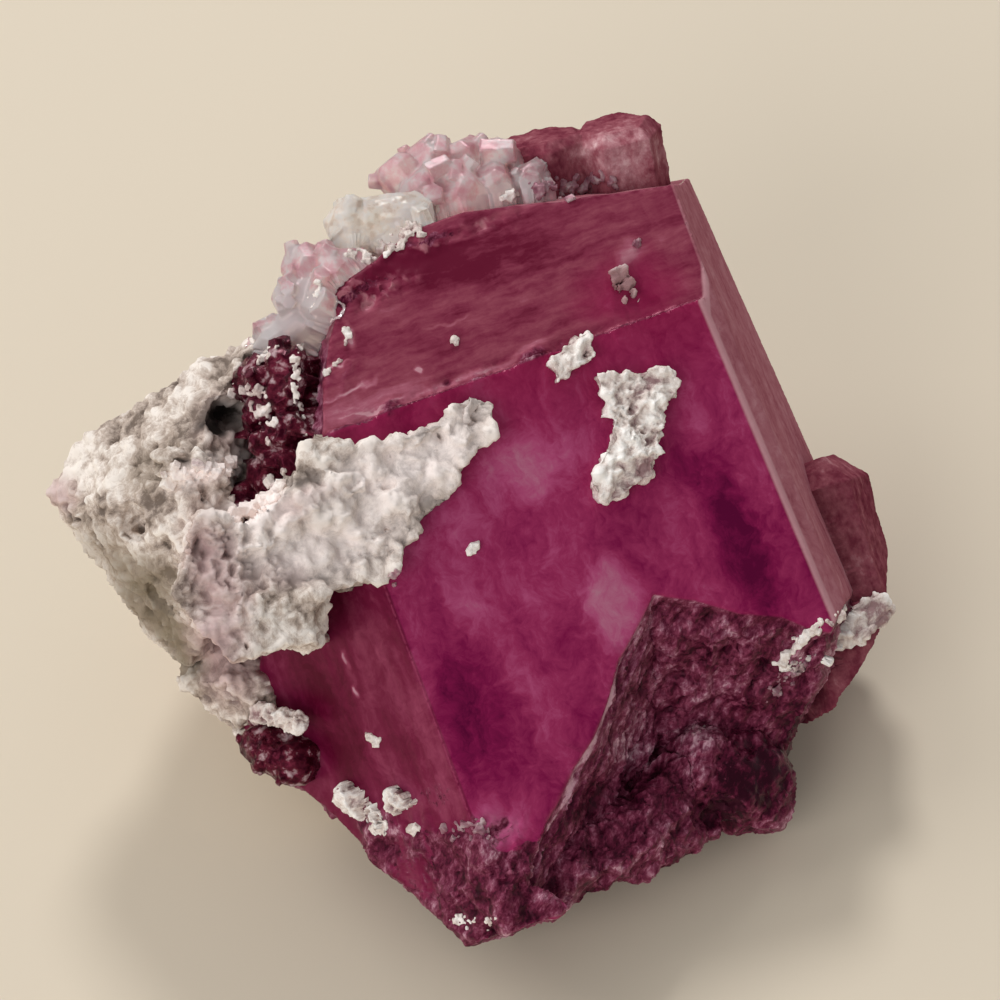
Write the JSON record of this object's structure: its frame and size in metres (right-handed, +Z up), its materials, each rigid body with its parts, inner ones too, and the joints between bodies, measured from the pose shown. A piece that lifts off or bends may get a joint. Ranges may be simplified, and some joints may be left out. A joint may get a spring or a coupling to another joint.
{
  "type": "red beryl crystal on matrix",
  "caption": "Mineral hand specimen: a stout six-sided red beryl crystal with a broken foot and druse along its rim, leaning on a block of pale rhyolite.",
  "frame": {"origin": "middle of the specimen's box, on the plane that it rests on", "axes": "+Z up, +X to the right as seen from the side that shows the crystal's broad face, +Y away from that side"},
  "size_m": [0.0206, 0.0198, 0.0127],
  "materials": {
    "red_beryl": "glossy, cloudy and clear in patches",
    "pale_beryl": "glossy, see-through",
    "dark_beryl": "glossy, dark",
    "quartz": "glossy, clear to milky",
    "rhyolite": "rough, grainy and pitted",
    "white_rhyolite": "rough, sugary"
  },
  "bodies": {
    "root": {"main_crystal": "red_beryl", "top_crystal": "red_beryl", "side_crystal": "red_beryl", "rim_druse": "pale_beryl", "corner_druse": "pale_beryl", "pocket_druse": "dark_beryl", "edge_beryl": "dark_beryl", "quartz_grain": "quartz", "matrix": "rhyolite", "large_rock_scrap": "white_rhyolite", "square_rock_scrap": "white_rhyolite", "upper_rock_scrap": "white_rhyolite", "vein_rock": "white_rhyolite", "notch_rock_scrap": "white_rhyolite", "foot_rock_scrap": "white_rhyolite", "heel_rock_scrap": "white_rhyolite", "left_rock_scrap": "white_rhyolite"}
  },
  "joints": []
}
